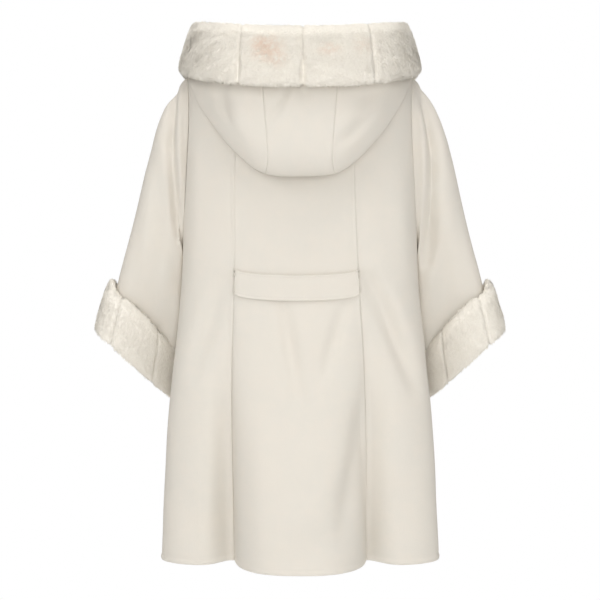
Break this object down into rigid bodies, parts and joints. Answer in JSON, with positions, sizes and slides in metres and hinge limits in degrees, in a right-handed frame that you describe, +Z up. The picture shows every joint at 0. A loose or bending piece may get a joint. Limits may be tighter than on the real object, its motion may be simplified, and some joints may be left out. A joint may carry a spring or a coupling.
{
  "type": "hooded cape coat",
  "caption": "Hooded cape coat, filled out as worn, with wide sleeves, turned-back fur cuffs, a fur-edged hood lying on the back and a half belt.",
  "frame": {"origin": "middle of the neck at its base, where the wearer's shoulders carry the coat", "axes": "+Z up, the back faces -Y, +X to the coat's right side"},
  "size_m": [0.745, 0.3536, 0.9484],
  "materials": {
    "wool": "matt off-white double-faced wool with a short brushed nap",
    "fur": "dense short sheared faux fur, off-white with warmer patches"
  },
  "bodies": {
    "root": {"back_centre": "wool", "back_side_left": "wool", "back_side_right": "wool", "front_left": "wool", "front_right": "wool", "sleeve_left": "wool", "sleeve_right": "wool", "hood_centre": "wool", "hood_side_left": "wool", "hood_side_right": "wool", "half_belt": "wool", "hood_fur_1": "fur", "hood_fur_2": "fur", "hood_fur_3": "fur", "hood_fur_4": "fur", "cuff_left_1": "fur", "cuff_left_2": "fur", "cuff_left_3": "fur", "cuff_right_1": "fur", "cuff_right_2": "fur", "cuff_right_3": "fur"}
  },
  "joints": []
}
